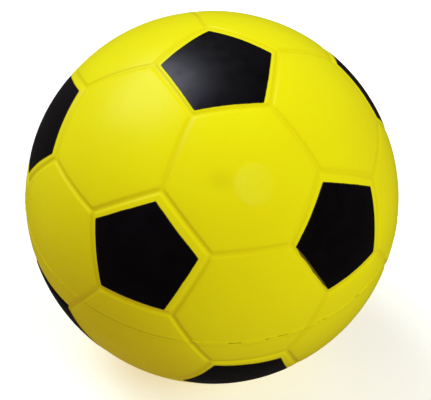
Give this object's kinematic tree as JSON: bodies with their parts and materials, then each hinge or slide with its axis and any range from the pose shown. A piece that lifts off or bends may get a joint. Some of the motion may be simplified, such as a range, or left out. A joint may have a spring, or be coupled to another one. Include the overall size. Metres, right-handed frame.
{
  "type": "stress ball",
  "caption": "Squeezable foam ball moulded as a football: grooved yellow skin over a soft core, with black pentagons printed on it.",
  "frame": {"origin": "centre of the ball", "axes": "+Z is the way the mould opens, through the middle of a pentagon; the parting seam lies in the XY plane; -Y points through the front hexagon of the upper half"},
  "size_m": [0.0702, 0.0702, 0.07],
  "materials": {
    "foam": "matte",
    "skin": "satin",
    "seam": "satin",
    "ink": "satin"
  },
  "bodies": {
    "lower_half": {"skin_lower": "skin", "foam_core": "foam", "parting_seam": "seam", "print_lower_pole": "ink", "print_lower_1": "ink", "print_lower_2": "ink", "print_lower_3": "ink", "print_lower_4": "ink", "print_lower_5": "ink"},
    "upper_half": {"skin_upper": "skin", "print_upper_pole": "ink", "print_upper_1": "ink", "print_upper_2": "ink", "print_upper_3": "ink", "print_upper_4": "ink", "print_upper_5": "ink"}
  },
  "joints": [
    {"name": "squeeze", "type": "slide", "parent": "lower_half", "child": "upper_half", "axis": [0, 0, 1], "range_m": [-0.028, 0], "stiffness_N_per_m": 2000, "deforming": ["foam_core", "skin_lower", "parting_seam", "print_lower_pole", "print_lower_1", "print_lower_2", "print_lower_3", "print_lower_4", "print_lower_5", "skin_upper", "print_upper_pole", "print_upper_1", "print_upper_2", "print_upper_3", "print_upper_4", "print_upper_5"]}
  ]
}
